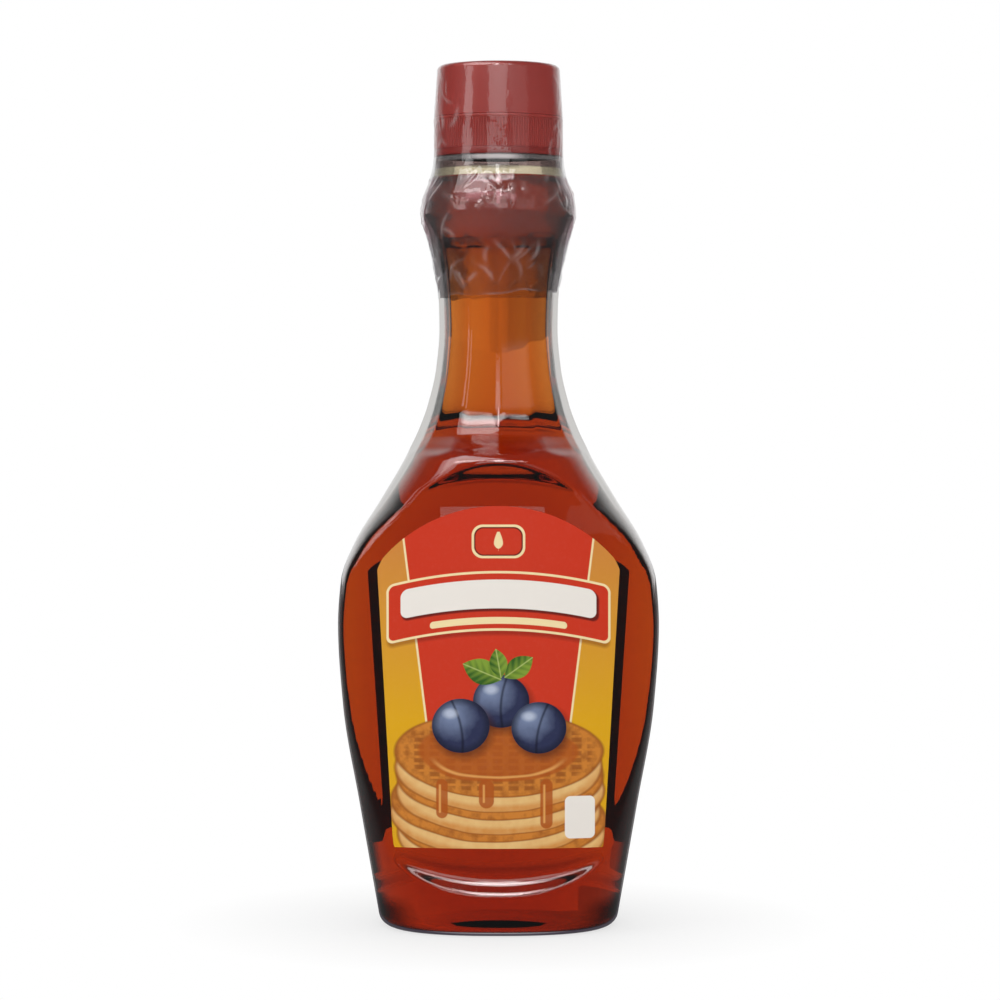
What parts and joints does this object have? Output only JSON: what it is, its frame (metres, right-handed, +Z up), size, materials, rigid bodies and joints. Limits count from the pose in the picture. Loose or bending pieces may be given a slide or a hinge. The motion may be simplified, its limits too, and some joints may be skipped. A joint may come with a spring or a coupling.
{
  "type": "pancake syrup bottle",
  "caption": "Sealed oval bottle of amber syrup with a recessed label panel, faceted neck, round collar, red cap and clear shrunk film.",
  "frame": {"origin": "centre of the standing ring, on the surface the bottle stands on", "axes": "+Z up the bottle, -Y out of the front label, +X to the right as seen from the front"},
  "size_m": [0.0955, 0.0676, 0.2564],
  "materials": {
    "bottle_clear": "clear glossy moulded plastic",
    "syrup_amber": "clear amber-brown liquid",
    "cap_red": "satin red moulded plastic",
    "label_print": "printed gloss paper",
    "label_back": "printed gloss paper",
    "film_clear": "clear shrunk film with wrinkles"
  },
  "bodies": {
    "root": {"bottle": "bottle_clear", "syrup": "syrup_amber", "cap_base": "cap_red", "cap_lid": "cap_red", "label_front": "label_print", "label_back": "label_back", "shrink_film": "film_clear"}
  },
  "joints": []
}
